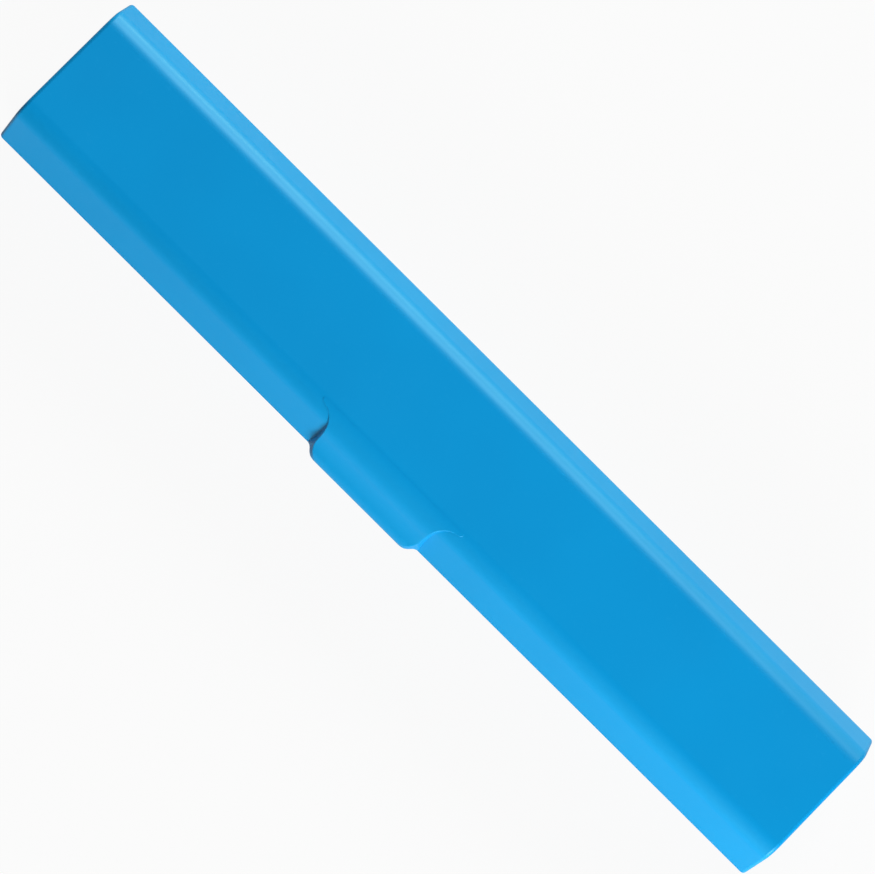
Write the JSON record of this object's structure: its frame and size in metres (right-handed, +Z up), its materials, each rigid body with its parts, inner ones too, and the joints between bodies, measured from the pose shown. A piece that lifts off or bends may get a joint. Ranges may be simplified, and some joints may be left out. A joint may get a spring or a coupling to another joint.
{
  "type": "toothbrush travel case",
  "caption": "Slim hinged travel case for a toothbrush, with a lift tab on the lid, a pin hinge along the back and soft cradles inside.",
  "frame": {"origin": "centre of the closed case's outside box, tab included, at the height of the underside it stands on", "axes": "+X along the case towards the brush head's end, -Y towards the lift tab, +Y towards the hinge, +Z up through the lid"},
  "size_m": [0.216, 0.0406, 0.032],
  "materials": {
    "lid_plastic": "satin",
    "base_plastic": "satin",
    "hinge_steel": "drawn wire",
    "cradle_rubber": "soft moulded"
  },
  "bodies": {
    "base": {"base_shell": "base_plastic", "hinge_pin_left": "hinge_steel", "hinge_pin_right": "hinge_steel", "handle_cradle_rear": "cradle_rubber", "handle_cradle_front": "cradle_rubber", "neck_cradle": "cradle_rubber"},
    "lid": {"lid_shell": "lid_plastic", "lid_pad_rear": "cradle_rubber", "lid_pad_front": "cradle_rubber"}
  },
  "joints": [
    {"name": "lid_hinge", "type": "hinge", "parent": "base", "child": "lid", "pos_m": [0, 0.0183, 0.018], "axis": [-1, 0, 0], "range_deg": [0, 100]}
  ]
}
